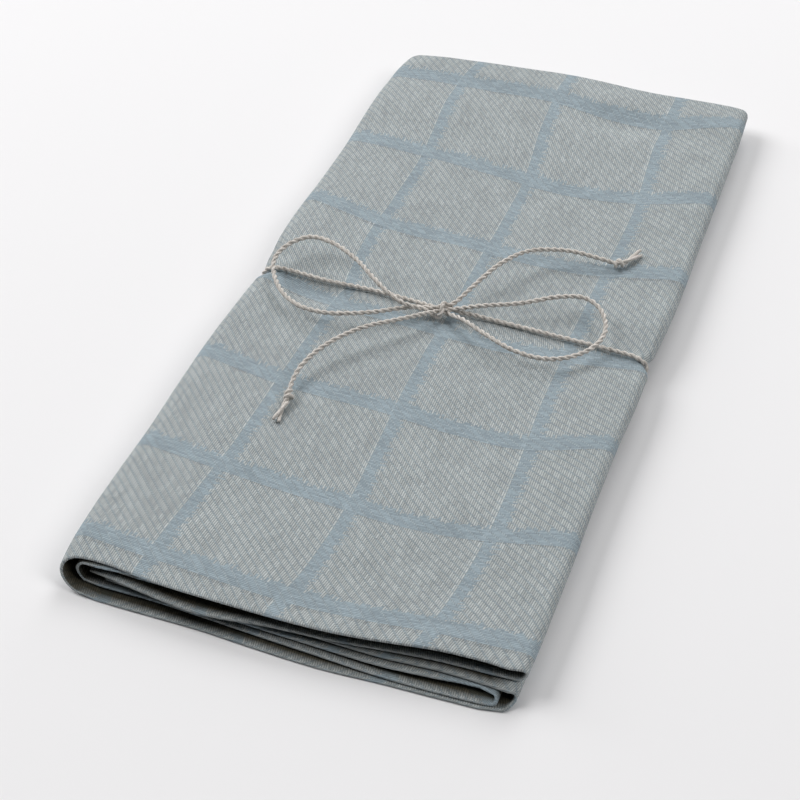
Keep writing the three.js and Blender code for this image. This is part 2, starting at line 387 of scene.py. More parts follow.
        # A slub lies along one thread.
        warp_long, weft_long = 1 / self.warp_pitch, 1 / self.weft_pitch
        for thread, height, stretch, name in (
            ("warp", "end_round", (warp_long, self.slubs, 0.0), ("end_number", "warp_order")),
            ("weft", "pick_round", (self.slubs, weft_long, 0.0), ("weft_order", "pick_number")),
        ):
            longer = {"operation": "MULTIPLY", 1: stretch}
            rows += [
                (f"{thread}_high", "MapRange", {3: 0.69, 4: 1.0}, {0: f"{thread}_arch"}),
                (f"{thread}_height", "MULTIPLY", {}, {0: height, 1: f"{thread}_high"}),
                (f"{thread}_name", "CombineXYZ", {}, dict(enumerate(name))),
                (f"{thread}_luck", "TexWhiteNoise", flat_noise, {"Vector": f"{thread}_name"}),
                (f"{thread}_long", "VectorMath", longer, {0: "place"}),
                (f"{thread}_slub", "TexNoise", soft_noise, {"Vector": f"{thread}_long"}),
            ]
        for what in ("height", "luck", "slub"):
            links = {0: "weft_top", 2: f"warp_{what}", 3: f"weft_{what}"}
            rows.append((f"top_{what}", "Mix", {}, links))
        return (
            *rows,
            ("packed", "MapRange", {3: 0.0, 4: 0.3}, {0: "band"}),
            ("height", "Mix", {3: 0.62}, {0: "packed", 2: "top_height"}),
            # Painted shade between the threads: where the weave is low, the gap shade colour takes
            # over.
            ("open", "MapRange", {1: 0.0, 2: 0.66, 3: 0.0, 4: 1.0}, {0: "height"}),
            # Hand-spun look: no two floats reflect alike.
            ("luck_tone", "MapRange", {3: 0.87, 4: 1.11}, {0: "top_luck"}),
            ("slub_tone", "MapRange", {1: 0.3, 2: 0.7, 3: 0.95, 4: 1.05}, {0: "top_slub"}),
            ("cloud", "TexNoise", {"Scale": 0.09, "Detail": 3.0}, {"Vector": "place"}),
            ("cloud_tone", "MapRange", {1: 0.3, 2: 0.7, 3: 0.95, 4: 1.05}, {0: "cloud"}),
            # Short fibres that stand off the threads, drawn coarser than real ones.
            ("fuzz", "TexNoise", {"Scale": 1.5, "Detail": 2.0}, {"Vector": "place"}),
            ("fuzz_tone", "MapRange", {1: 0.3, 2: 0.7, 3: 0.90, 4: 1.10}, {0: "fuzz"}),
            # A band's first edge: where it runs across, a dashed line of painted shadow under the
            # step of its floats; where it runs along, a pale thread.
            ("dash", "GREATER_THAN", {1: 0.3}, {0: "along_luck"}),
            ("step_shadow", "MULTIPLY", {}, {0: "dash", 1: "along_edge"}),
            ("step_shadow_tone", "MapRange", {3: 1.0, 4: 0.84}, {0: "step_shadow"}),
            ("bright", "LESS_THAN", {1: 0.6}, {0: "warp_slub"}),
            ("line", "MULTIPLY", {}, {0: "bright", 1: "across_edge"}),
            ("line_tone", "MapRange", {3: 1.0, 4: 1.09}, {0: "line"}),
            ("tone_a", "MULTIPLY", {}, {0: "luck_tone", 1: "slub_tone"}),
            ("tone_b", "MULTIPLY", {}, {0: "cloud_tone", 1: "step_shadow_tone"}),
            ("tone_c", "MULTIPLY", {}, {0: "line_tone", 1: "fuzz_tone"}),
            ("tone_d", "MULTIPLY", {}, {0: "tone_a", 1: "tone_b"}),
            ("tone", "MULTIPLY", {}, {0: "tone_c", 1: "tone_d"}),
        )

    def make(self) -> bpy.types.Material:
        """Builds the linen's nodes.

        Returns:
            The material, which reads each point's place in the cloth from the mesh.
        """
        material = new_material("washed_damask_linen")
        tree = material.node_tree
        cloth = add_node(tree, "Attribute", {"attribute_name": "cloth"})
        split = add_node(tree, "SeparateXYZ", {}, {0: cloth.outputs["Vector"]})
        known = {
            "place": cloth.outputs["Vector"],
            "across": split.outputs[0],
            "along": split.outputs[1],
            # The third value is the share of painted shade that a face inside the folds gets.
            "side": split.outputs[2],
        }
        for rows in (self.weave_rows(), self.check_rows(), self.look_rows()):
            add_rows(tree, rows, known)
        colours = add_node(
            tree,
            "Mix",
            {
                "data_type": "RGBA",
                6: linear_colour(self.warp_colour),
                7: linear_colour(self.weft_colour),
            },
            {0: known["weft_share"]},
        )
        # Painted shade in the gaps between the threads.
        threads = add_node(
            tree,
            "Mix",
            {"data_type": "RGBA", 6: linear_colour(self.gap_shade_colour)},
            {0: known["open"], 7: colours.outputs[2]},
        )
        shaded = add_node(
            tree,
            "VectorMath",
            {"operation": "SCALE"},
            {0: threads.outputs[2], "Scale": known["tone"]},
        )
        # Painted shade inside the folds: the colour is multiplied by the fold shade colour by that
        # share.
        fold_shaded = add_node(
            tree,
            "Mix",
            {"data_type": "RGBA", "blend_type": "MULTIPLY", 7: linear_colour(self.fold_shade_colour)},
            {0: known["side"], 6: shaded.outputs[0]},
        )
        self.close(tree, known["height"], fold_shaded.outputs[2])
        return material


@dataclass(frozen=True)
class FlaxTwine(MatteSurface):
    """Natural two-ply flax twine, spun and unpolished.

    Its fibres run along each ply, so it is streaky, dull and a little hairy.
    """

    light_colour: str = "#f4efe9"
    dark_colour: str = "#b8b1a9"
    relief: float = 0.09  # mm, a fibre's width, drawn coarser than real flax so that it shows
    relief_strength: float = 0.7
    roughness: float = 0.8
    specular: float = 0.3

    def make(self) -> bpy.types.Material:
        """Builds the twine's nodes.

        Returns:
            The material, which reads the place along and round the ply from the mesh.
        """
        material = new_material("spun_flax_twine")
        tree = material.node_tree
        ply = add_node(tree, "Attribute", {"attribute_name": "ply"})
        known = {"place": ply.outputs["Vector"]}
        rows = (
            ("stretch", "VectorMath", {"operation": "MULTIPLY", 1: (0.35, 2.2, 2.2)}, {0: "place"}),
            (
                "fibres",
                "TexNoise",
                {"Scale": 1.6, "Detail": 4.0, "Roughness": 0.65},
                {"Vector": "stretch"},
            ),
            ("streak", "MapRange", {1: 0.35, 2: 0.65}, {0: "fibres"}),
        )
        add_rows(tree, rows, known)
        colour = add_node(
            tree,
            "Mix",
            {
                "data_type": "RGBA",
                6: linear_colour(self.dark_colour),
                7: linear_colour(self.light_colour),
            },
            {0: known["streak"]},
        )
        self.close(tree, known["streak"], colour.outputs[2])
        return material


@dataclass(frozen=True)
class PaleFloor(MatteSurface):
    """Matte white paint, plain and rolled on, so that it shows hardly any gloss or grain."""

    colour: str = "#eeedee"
    grain: float = 220.0  # in a metre, the roller's texture of about 5 mm
    relief: float = 0.04  # mm
    relief_strength: float = 0.3
    roughness: float = 0.7
    specular: float = 0.2

    def make(self) -> bpy.types.Material:
        """Builds the floor's nodes.

        Returns:
            The material.
        """
        material = new_material("matte_white_paint")
        tree = material.node_tree
        place = add_node(tree, "TexCoord")
        grain = add_node(
            tree,
            "TexNoise",
            {"Scale": self.grain, "Detail": 3.0},
            {"Vector": place.outputs["Object"]},
        )
        self.close(tree, grain.outputs[0], linear_colour(self.colour))
        return material


@dataclass
class Studio:
    """Camera at the photo's viewing angle, plain floor and soft light from the upper left."""

    camera_place: Point = (0.1464, -0.4274, 0.3990)
    pitch: float = 43.32  # degrees down
    turn: float = 20.81  # degrees to the left of +Y
    lens: float = 90.8  # mm on a 36 mm sensor
    nearest: float = 0.01  # metres, the closest that the camera sees
    floor_half: float = 3000.0  # mm
    sky: float = 0.03
    # Where each soft box hangs in metres, the side of its face in metres, and its watts.
    soft_boxes: dict[str, tuple[Point, float, float]] = field(
        default_factory=lambda: {
            "left_softbox": ((-1.54, 0.0, 1.54), 1.1, 26.7),
            "back_left_softbox": ((-1.12, 1.12, 1.54), 1.1, 4.5),
            "back_softbox": ((0.0, 1.54, 1.54), 1.1, 18.2),
            "right_softbox": ((1.54, 0.0, 1.54), 1.1, 16.6),
            "low_left_softbox": ((-2.1, 0.28, 0.7), 0.84, 8.9),
            "low_back_softbox": ((0.0, 2.1, 0.7), 0.84, 5.7),
        }
    )

    def place_camera(self) -> None:
        """Sets the camera up as the photo was taken."""
        data = bpy.data.cameras.new("camera")
        data.lens = self.lens
        data.clip_start = self.nearest
        camera = bpy.data.objects.new("camera", data)
        camera.location = self.camera_place
        camera.rotation_euler = (math.radians(90 - self.pitch), 0, math.radians(self.turn))
        bpy.context.scene.collection.objects.link(camera)
        bpy.context.scene.camera = camera

    def lay_floor(self) -> None:
        """Lays the plain pale floor under the towel."""
        h = self.floor_half
        corners = np.array([(-h, -h, 0), (h, -h, 0), (h, h, 0), (-h, h, 0)])
        floor = build_piece("floor", corners, [(0, 1, 2, 3)], PaleFloor().make())

    def hang_light(self, name: str, place: Point, size: float, power: float) -> None:
        """Hangs one soft box that faces the towel.

        Args:
            name: the light's name.
            place: where it hangs, in metres.
            size: the side of its square face, in metres.
            power: in watts.
        """
        data = bpy.data.lights.new(name, "AREA")
        data.shape = "SQUARE"
        data.size = size
        data.energy = power
        light = bpy.data.objects.new(name, data)
        light.location = place
        light.rotation_euler = Vector(place).to_track_quat("Z", "Y").to_euler()
        bpy.context.scene.collection.objects.link(light)

    def light(self) -> None:
        """Lights the scene softly, most from the left and from behind."""
        for name, (place, size, power) in self.soft_boxes.items():
            self.hang_light(name, place, size, power)
        world = bpy.data.worlds.new("studio_walls")
        world.use_nodes = True
        world.node_tree.nodes.clear()
        walls = add_node(
            world.node_tree, "Background", {"Color": (1, 1, 1, 1), "Strength": self.sky}
        )
        add_node(world.node_tree, "OutputWorld", {}, {"Surface": walls.outputs[0]})
        bpy.context.scene.world = world
        bpy.context.scene.view_settings.view_transform = "Standard"

    def build(self) -> None:
        """Builds the whole studio."""
        self.place_camera()
        self.lay_floor()
        self.light()
        LOG.info("studio: camera, floor and %d soft boxes", len(self.soft_boxes))


@dataclass
class TwineTie:
    """One length of two-ply twine round the towel, tied in a bow with a knot in each end.

    Lengths are in millimetres. The routes follow the solid's, apart from the knot's inner turns.
    """

    diameter: float = 1.6
    ply_radius: float = 0.40
    ply_offset: float = 0.36
    lay: float = 4.3  # one turn of the plies
    step: float = 0.4  # from point to point of the middle line
    sides: int = 8
    ply_uneven: float = 0.10  # share of its radius
    left_tail: tuple[Point, ...] = (
        (-29.0, -63.0, 11.2), (-29.0, -57.6, 11.5), (-29.1, -53.4, 12.0), (-30.2, -48.8, 12.5),
        (-29.9, -42.4, 13.8), (-26.4, -33.8, 15.4), (-19.2, -24.2, 16.4), (-10.4, -15.4, 15.4),
        (-6.2, -10.6, 14.4), (-3.0, -5.0, 12.2),
    )
    right_loop: tuple[Point, ...] = (
        (2.4, -1.9, 12.4), (9.0, -0.2, 14.2), (19.8, 4.4, 14.8), (30.0, 10.4, 15.6),
        (37.0, 12.8, 15.4), (42.4, 10.4, 14.8), (46.2, 3.6, 14.0), (45.6, -4.0, 13.7),
        (40.4, -11.4, 13.7), (33.6, -15.2, 14.0), (25.0, -15.4, 14.3), (15.2, -11.9, 14.4),
        (5.7, -6.4, 13.1), (0.2, -3.9, 11.6),
    )
    band: tuple[Point, ...] = (
        (-3.4, -2.4, 11.3), (-9.0, -1.6, 11.0), (-22.4, -0.6, 10.55), (-40.0, -1.3, 10.5),
        (-50.0, -0.9, 10.6), (-54.6, -0.9, 10.5), (-57.2, -1.0, 9.9), (-59.1, -1.1, 8.3),
        (-59.9, -1.2, 5.9), (-59.1, -1.2, 3.7), (-57.2, -1.2, 2.0), (-54.4, -1.2, 1.1),
        (-50.0, -1.2, 0.9), (-40.0, -1.2, 0.9), (40.0, -1.2, 0.9), (52.0, -1.2, 0.95),
        (56.4, -1.2, 1.4), (58.6, -1.3, 3.2), (59.9, -1.4, 5.6), (60.3, -1.6, 7.6),
        (59.4, -1.8, 9.5), (57.2, -1.6, 10.5), (53.8, -1.3, 10.65), (34.0, -1.0, 10.6),
        (12.0, -0.9, 10.7), (6.0, -1.2, 11.0),
    )
    wrap: tuple[Point, ...] = (
        (3.6, -1.6, 11.1), (0.8, -1.0, 11.5), (-0.9, -1.1, 12.6), (-1.5, -2.6, 13.6),
        (-1.2, -4.4, 13.5), (-1.0, -5.7, 12.5), (-2.0, -6.0, 11.2), (-4.4, -5.2, 11.0),
        (-6.2, -5.1, 12.0),
    )
    left_loop: tuple[Point, ...] = (
        (-7.7, -6.2, 13.1), (-9.6, -7.4, 14.3), (-12.4, -7.9, 15.2), (-17.9, -6.2, 16.6),
        (-23.6, -2.6, 17.4), (-30.9, 2.8, 17.8), (-40.4, 7.6, 17.8), (-48.6, 9.2, 16.6),
        (-53.8, 5.6, 15.2), (-55.8, -0.8, 14.2), (-53.4, -7.4, 13.7), (-47.6, -14.4, 13.7),
        (-40.4, -18.6, 14.0), (-31.4, -18.7, 14.1), (-20.6, -13.6, 13.5), (-10.4, -6.0, 12.5),
        (-3.9, -3.2, 12.1),
    )
    right_tail: tuple[Point, ...] = (
        (0.8, -0.6, 12.9), (4.3, 5.8, 15.0), (9.4, 16.6, 17.2), (15.6, 26.4, 16.6),
        (26.0, 32.8, 14.7), (36.6, 34.7, 12.9), (41.0, 35.6, 11.9), (45.7, 43.7, 11.4),
    )
    # Beyond its knot each end is loosely twisted: how far from the end, and how the twist lets go.
    tail_end: float = 9.0
    letting_go: float = 3.0
    loose_twist: float = 0.75  # share of the twist that is lost
    loose_swell: float = 0.35  # share that the plies grow by and stand apart by
    fan: float = 0.9  # share that they fan out by at the very end
    fan_length: float = 2.4
    blunting: float = 0.3  # share that the plies thin down by at the very end
    blunt_length: float = 0.8
    # How far along the twine each end knot sits from its end, its length and its turns.
    end_knots: tuple[tuple[float, float, float], ...] = ((9.8, 4.6, 2.2), (9.5, 3.8, 2.0))
    # The knot's turns start at the twine's core and arch out of it, thickest in the middle.
    knot_core: float = 0.25
    knot_arch: float = 0.85
    knot_thin: float = 0.15
    knot_swell: float = 0.43
    turn_points: int = 20
    # Short fibres that stand off the twine and taper.
    hairs: int = 260
    hair_margins: tuple[int, int] = (6, 12)  # steps that stay bare at the twine's two ends
    hair_steps: tuple[int, int] = (4, 8)
    hair_sides: int = 3
    hair_foot: float = 0.55
    hair_reach: tuple[float, float] = (0.25, 0.75)
    hair_radius: float = 0.055
    hair_bend: float = 1.2  # radians round the twine
    hair_floor: float = 0.1  # none reaches lower than this

    def route(self) -> np.ndarray:
        """The twine's middle line from one free end to the other.

        Returns:
            Points about one step apart.
        """
        parts = (
            self.left_tail, self.right_loop, self.band, self.wrap, self.left_loop, self.right_tail,
        )
        knots = np.array([point for part in parts for point in part])
        gaps = np.linalg.norm(np.diff(knots, axis=0), axis=1) ** 0.5
        places = np.concatenate([[0.0], np.cumsum(gaps)])
        fine = np.linspace(0, places[-1], 9000)
        line = np.stack([eased(fine, places, knots[:, k]) for k in range(3)], axis=1)
        along = np.concatenate([[0.0], np.cumsum(np.linalg.norm(np.diff(line, axis=0), axis=1))])
        count = int(along[-1] / self.step)
        at = np.linspace(0, along[-1], count)
        return np.stack([np.interp(at, along, axis) for axis in line.T], axis=1)

    @staticmethod
    def frames(line: np.ndarray) -> tuple[np.ndarray, np.ndarray]:
        """Two directions across the line at each point, which never twist round it.

        Args:
            line: the points of the middle line.

        Returns:
            The two unit directions, one row for each point.
        """
        tangents = np.gradient(line, axis=0)
        tangents /= np.linalg.norm(tangents, axis=1, keepdims=True)
        side = np.cross(tangents[0], (0, 0, 1.0))
        sides = []
        for tangent in tangents:
            side = side - tangent * side.dot(tangent)
            side /= np.linalg.norm(side)
            sides.append(side)
        first = np.array(sides)
        return first, np.cross(tangents, first)

    def tube(
        self, line: np.ndarray, radii: np.ndarray, sides: int, shift: float
    ) -> tuple[np.ndarray, list[tuple[int, ...]], np.ndarray]:
        """A closed round tube along a line.

        Args:
            line: its middle.
            radii: its radius at each point.
            sides: how many sides it has.
            shift: where its fibres start in the finish, so that no two strands look alike.

        Returns:
            Its points, its faces, and each point's place along and round the strand.
        """
        first, second = self.frames(line)
        angles = np.arange(sides) * 2 * math.pi / sides
        ring = np.cos(angles)[None, :, None] * first[:, None] + (
            np.sin(angles)[None, :, None] * second[:, None]
        )
        points = (line[:, None] + radii[:, None, None] * ring).reshape(-1, 3)
        faces = []
        for i in range(len(line) - 1):
            for j in range(sides):
                a, b = i * sides + j, i * sides + (j + 1) % sides
                faces.append((a, b, b + sides, a + sides))
        faces.append(tuple(range(sides))[::-1])
        last = (len(line) - 1) * sides
        faces.append(tuple(range(last, last + sides)))
        steps = np.linalg.norm(np.diff(line, axis=0), axis=1)
        run = np.repeat(np.concatenate([[0.0], np.cumsum(steps)]), sides)
        angle = np.tile(angles, len(line))
        place = np.stack([run, np.cos(angle) + shift, np.sin(angle)], axis=1)
        return points, faces, place

    def plies(self, line: np.ndarray, rng: np.random.Generator) -> list[tuple]:
        """The two plies, twisted round each other and fanned out at both free ends.

        Args:
            line: the twine's middle line.
            rng: gives the uneven thickness.

        Returns:
            Two tubes.
        """
        first, second = self.frames(line)
        along = np.arange(len(line)) * self.step
        end = np.minimum(along, along[-1] - along)
        loose = ramp(end, self.tail_end, self.tail_end - self.letting_go)
        fanned = self.fan * bump(end / self.fan_length)
        spread = self.ply_offset * (1 + self.loose_swell * loose + fanned)
        wound = np.cumsum(self.step * (1 - self.loose_twist * loose)) / self.lay
        blunt = 1 - self.blunting * bump(end / self.blunt_length)
        tubes = []
        for ply in range(2):
            uneven = np.convolve(rng.normal(size=len(line)), np.ones(4) / 4, "same")
            turn = 2 * math.pi * wound + ply * math.pi
            out = np.cos(turn)[:, None] * first + np.sin(turn)[:, None] * second
            swell = 1 + self.ply_uneven * uneven + self.loose_swell * loose
            radii = self.ply_radius * swell * blunt
            shift = Strand.PLY.value * ply
            tubes.append(self.tube(line + spread[:, None] * out, radii, self.sides, shift))
        return tubes

    def end_knot(self, line: np.ndarray, centre: float, length: float, turns: float) -> tuple:
        """An overhand knot's outer turns round the twine.

        Args:
            line: the twine's middle line.
            centre: how far along it the knot sits.
            length: from its first to its last turn.
            turns: how many there are.

        Returns:
            One tube.
        """
        first, second = self.frames(line)
        t = np.linspace(0, 1, int(turns * self.turn_points))
        at = (centre + (t - 0.5) * length) / self.step
        grid = np.arange(len(line))
        middle, one, two = (
            np.stack([np.interp(at, grid, axis[:, k]) for k in range(3)], axis=1)
            for axis in (line, first, second)
        )
        arch = np.sin(math.pi * t)
        out = self.knot_core + self.knot_arch * arch
        angle = 2 * math.pi * turns * t
        across = np.cos(angle)[:, None] * one + np.sin(angle)[:, None] * two
        radii = self.knot_thin + self.knot_swell * arch**0.5
        return self.tube(middle + out[:, None] * across, radii, self.sides, Strand.KNOT.value)

    def loose_fibres(self, line: np.ndarray, rng: np.random.Generator) -> list[tuple]:
        """Short fibres that stand off the twine.

        Args:
            line: the twine's middle line.
            rng: places them.

        Returns:
            One thin tube for each.
        """
        first, second = self.frames(line)
        tubes = []
        first_step, margin = self.hair_margins
        for start in rng.integers(first_step, len(line) - margin, self.hairs):
            count = int(rng.integers(*self.hair_steps))
            rows = np.arange(start, start + count)
            t = np.linspace(0, 1, count)
            angle = rng.uniform(0, 2 * math.pi) + t * rng.uniform(-self.hair_bend, self.hair_bend)
            out = self.hair_foot + rng.uniform(*self.hair_reach) * t
            across = np.cos(angle)[:, None] * first[rows] + np.sin(angle)[:, None] * second[rows]
            fibre = line[rows] + out[:, None] * across
            if fibre[:, 2].min() > self.hair_floor:
                radii = self.hair_radius * (1.1 - t)
                tubes.append(self.tube(fibre, radii, self.hair_sides, Strand.HAIR.value))
        return tubes

    def build(self) -> None:
        line = self.route()
        total = (len(line) - 1) * self.step
        rng = np.random.default_rng(11)
        left, right = self.end_knots
        strands = [
            *self.plies(line, rng),
            self.end_knot(line, *left),
            self.end_knot(line, total - right[0], *right[1:]),
            *self.loose_fibres(line, rng),
        ]
        points, faces, places = [], [], []
        start = 0
        for tube_points, tube_faces, place in strands:
            faces += [tuple(start + k for k in face) for face in tube_faces]
            points.append(tube_points)
            places.append(place)
            start += len(tube_points)
        tie = build_piece("twine", np.concatenate(points), faces, FlaxTwine().make())
        kept = tie.data.attributes.new("ply", "FLOAT_VECTOR", "POINT")
        kept.data.foreach_set("vector", np.concatenate(places).ravel())
        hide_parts("twine_tie")
        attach(tie, ROOT_BODY)
        LOG.info("twine: %.3f m of %.1f mm twine", total * MM, self.diameter)


@dataclass
class CrossLine:
    """The middle line of a pair of plies across the towel, drawn by panels and folds."""

    pair_half: float
    pitch: float
    rows: list[tuple[float, ...]] = field(default_factory=list)
    keys: list[tuple[float, ...]] = field(default_factory=list)

    def run(self) -> float:
        """How much cloth is drawn so far."""
        return self.rows[-1][4] if self.rows else 0.0

    def panel(
        self, start: float, end: float, level: int, facing: int, table: tuple[Row, ...], step: float
    ) -> None:
        """Draws one flat panel.

        Args:
            start: the crosswise place where it starts.
            end: the one where it ends.
            level: how many pairs of plies lie under it.
            facing: 1 where the cloth's face looks up, -1 where it looks down.
            table: the panel's ends, by crosswise place.
            step: from station to station.
        """
        z = self.pair_half + 2 * self.pitch * level
        base = self.run()
        for x in np.linspace(start, end, int(abs(end - start) / step) + 1):
            self.rows.append((x, z, 0.0, float(facing), base + abs(x - start)))
        order = table if end > start else table[::-1]
        self.keys.extend((base + abs(row[0] - start), *row[1:]) for row in order)

    def fold(
        self, x: float, z: float, radius: float, start: float, table: tuple[Row, ...], steps: int
    ) -> None:
        """Draws one half-round fold.

        Args:
            x: the crosswise place of its middle.
            z: the height of its middle.
            radius: its radius.
            start: the angle at which it starts, in degrees.
            table: the cloth's ends at its start, middle and end.
            steps: how many stations it takes.
        """
        base = self.run()
        for i in range(steps + 1):
            angle = math.radians(start + 180 * i / steps)
            c, s = math.cos(angle), math.sin(angle)
            arc = base + radius * math.pi * i / steps
            self.rows.append((x + radius * c, z + radius * s, c, s, arc))
        self.keys.extend((base + radius * math.pi * i / 2, *row) for i, row in enumerate(table))

    def read(self) -> dict[str, np.ndarray]:
        """The finished line, without double stations.

        Returns:
            Arrays for x, z, the normal, the run along the cloth, the thickness share, and
            where the two plies end and the far fold lies.
        """
        line = np.array(self.rows)
        line = line[np.concatenate([[True], np.diff(line[:, 4]) > 1e-6])]
        table = np.array(sorted(self.keys))
        x, z, normal_x, normal_z, along = line.T
        thick = np.ones(len(along))
        thick[0] = thick[-1] = 0.5
        outer, inner, far = (eased(along, table[:, 0], table[:, k]) for k in (1, 2, 3))
        return {
            "x": x,
            "z": z,
            "normal_x": normal_x,
            "normal_z": normal_z,
            "along": along,
            "thick": thick,
            "outer": outer,
            "inner": inner,
            "far": far,
        }


@dataclass
class FoldedTowel:
    """The linen towel as one sheet, folded in half and then three times across.

    Lengths are in millimetres. The pair of plies is the cloth folded in half at the far end. A
    face's share of painted shade, from 0 to 1, tells the finish how far inside the folds it lies.
    """

    ply: float = 0.9
    pair_half: float = 1.15
    pitch: float = 1.3
    stack: float = 10.1
    half_width: float = 62.0
    tight_turn: float = 1.3
    wide_turn: float = 3.9
    tie_y: float = -1.2
    free_edges: tuple[float, float] = (-54.0, -50.0)
    # Crosswise place, then where the outer and inner ply end at the front and the far fold lies.
    second_panel: tuple[Row, ...] = (
        (-50, -127.1, -125.5, 124.0), (-38, -128.9, -126.0, 126.0), (-22, -130.4, -125.0, 128.0),
        (-5, -127.8, -123.5, 129.5), (12, -126.2, -122.0, 130.0), (28, -124.1, -120.5, 129.8),
        (41, -122.8, -119.5, 130.6), (52, -122.3, -118.8, 131.2),
    )
    top_panel: tuple[Row, ...] = (
        (-50, -126.1, -126.8, 125.1), (-38, -127.3, -125.5, 126.9), (-22, -127.8, -123.5, 128.6),
        (-5, -127.5, -122.5, 130.6), (12, -126.7, -121.5, 130.9), (28, -124.7, -120.5, 130.4),
        (41, -122.8, -120.0, 131.5), (52, -122.0, -119.3, 132.0),
    )
    bottom_panel: tuple[Row, ...] = (
        (-50, -131.6, -127.9, 124.6), (-38, -131.5, -127.6, 126.6), (-22, -131.2, -128.1, 128.6),
        (-5, -131.8, -128.8, 130.2), (12, -132.0, -129.3, 130.6), (28, -130.9, -129.7, 130.3),
        (41, -130.3, -129.4, 131.2), (52, -129.6, -128.9, 131.6),
    )
    third_panel: tuple[Row, ...] = (
        (-50, -125.8, -126.3, 123.6), (-38, -125.9, -126.6, 125.4), (-22, -125.7, -127.0, 127.2),
        (-5, -125.7, -127.3, 128.9), (12, -125.8, -127.5, 129.4), (28, -125.8, -127.7, 129.4),
        (41, -124.9, -126.7, 130.0), (52, -124.9, -125.6, 130.6),
    )
    upper_right_fold: tuple[Row, ...] = (
        (-121.9, -117.8, 131.0), (-120.9, -117.3, 131.0), (-121.8, -118.2, 131.6),
    )
    left_fold: tuple[Row, ...] = (
        (-126.6, -127.0, 123.8), (-129.0, -127.2, 122.8), (-131.3, -127.8, 123.6),
    )
    lower_right_fold: tuple[Row, ...] = (
        (-128.4, -128.4, 131.2), (-124.8, -127.7, 130.6), (-125.3, -126.4, 130.6),
    )
    # Lengthwise place, then the outermost crosswise place of the wrap or of the upper right fold.
    left_outline: tuple[Row, ...] = (
        (-132, -61.8), (-124, -62.9), (-110, -63.5), (-90, -63.2), (-78, -62.9), (-50, -63.0),
        (-36, -62.8), (-24, -62.3), (-14, -61.8), (-7, -61.4), (-4, -61.0), (-1.2, -58.9),
        (1.4, -60.4), (4, -61.2), (9, -61.6), (14, -62.2), (22, -62.5), (49, -61.9), (63, -61.6),
        (104, -61.9), (115, -61.2), (126, -58.8),
    )
    right_outline: tuple[Row, ...] = (
        (-132, 63.6), (-113, 63.9), (-100, 63.7), (-82, 63.3), (-59, 62.5), (-40, 62.1),
        (-10, 62.0), (-5, 61.7), (-1.2, 59.5), (2, 60.9), (8, 61.4), (21, 61.8), (36, 61.6),
        (56, 60.9), (76, 60.4), (98, 59.8), (118, 59.1), (131, 58.2),
    )
    # How far the lower right fold stays behind the upper one.
    right_lean: tuple[Row, ...] = ((-130, 1.2), (-112, 1.5), (-98, 2.2), (118, 2.2), (130, 1.4))
    # How far the inner ply stays off the outer one at the front of the left and lower right fold.
    loose_left: float = 2.6
    loose_right: float = 3.2
    # Between these places, lengthwise or crosswise, that grows from nothing.
    loose_y: Row = (-100, -122)
    loose_left_x: Row = (-53, -60)
    loose_right_x: Row = (50, 60)
    # How far the two plies of the lower right hairpin part, and between which places.
    hairpin: float = 0.45
    hairpin_y: Row = (-96, -120)
    hairpin_x: Row = (5, 40)
    # Hem and far fold show the cloth's face inside too, this wide; deeper in, painted shade lies
    # on it, and inside the left fold it starts at the hem.
    hem: Row = (0.4, 2.6)
    # Share of the painted shade at the hem, and at the hem inside the left fold.
    shade_at_hem: float = 0.18
    shade_at_left_fold: float = 0.9
    left_fold_x: Row = (-48, -57)
    # The twine's channel underneath, and how far the wrap's round edge rises off the floor.
    channel_depth: float = 2.05
    channel_half: float = 12.0
    edge_lift: float = 1.5
    edge_x: Row = (-50, -63)
    # Dents in the top: depth, then the middle and half width crosswise, and the same lengthwise.
    dents: tuple[Row, ...] = (
        (0.6, 0, math.inf, -1.2, 14), (1.7, -42, 17, -6, 8), (0.8, -40, 16, 6, 8),
        (0.3, 34, 24, 6, 7), (0.55, 0, math.inf, 110, 9), (1.6, 24, 27, 109, 10),
    )
    # Where the top slopes down to an end: how far, and between which lengthwise places.
    end_slopes: tuple[Row, ...] = ((1.1, 119, 134), (0.7, -116, -134))
    # The slack corner at the far left: how far it sinks, and between which places.
    slack: float = 0.7
    slack_x: Row = (-44, -60)
    slack_y: Row = (20, 60)
    # Between these heights of the even stack the lower right fold gives way to the upper one.
    lean_heights: Row = (5.9, 4.3)
    ply_wave: float = 0.25
    # The pair's half length before its ends are moved, and from where on they are.
    half_length: float = 128.0
    steady_half: float = 96.0
    far_points: int = 7  # round the far fold, apart from its ends
    hem_points: int = 5  # round the edge of each hem
    # Where the check's bands lie on top: crosswise bands by x, lengthwise bands by y.
    check: float = 38.1
    bands_x: Row = (-58, -30, -5, 18, 36, 58)
    cross_bands: tuple[Row, ...] = (
        (-117.0, -118.4, -119.5, -118.1, -116.0, -113.7),
        (-80.7, -83.0, -84.1, -85.0, -82.5, -76.2),
        (-41.5, -45.5, -45.4, -46.8, -46.3, -37.7),
        (-3.0, -8.4, -9.6, -10.3, -8.0, -3.8),
        (37.3, 31.8, 31.4, 30.6, 32.8, 39.2),
        (71.5, 70.5, 68.6, 67.1, 70.0, 78.5),
        (112.1, 113.7, 115.8, 114.2, 114.6, 122.0),
    )
    bands_y: Row = (-126, -112, -96, -60, -20, 22, 66, 100, 122)
    long_bands: tuple[Row, ...] = (
        (-40.0, -38.2, -36.6, -34.0, -33.0, -33.7, -32.8, -35.2, -35.5),
        (-3.0, 0.6, 2.4, 2.2, 1.0, 2.4, 2.6, -0.7, -2.8),
        (34.0, 37.4, 39.4, 40.6, 38.7, 38.4, 39.9, 37.5, 37.2),
    )
    flat: tuple[float, float] = (0.472, 0.515)  # metres, unfolded

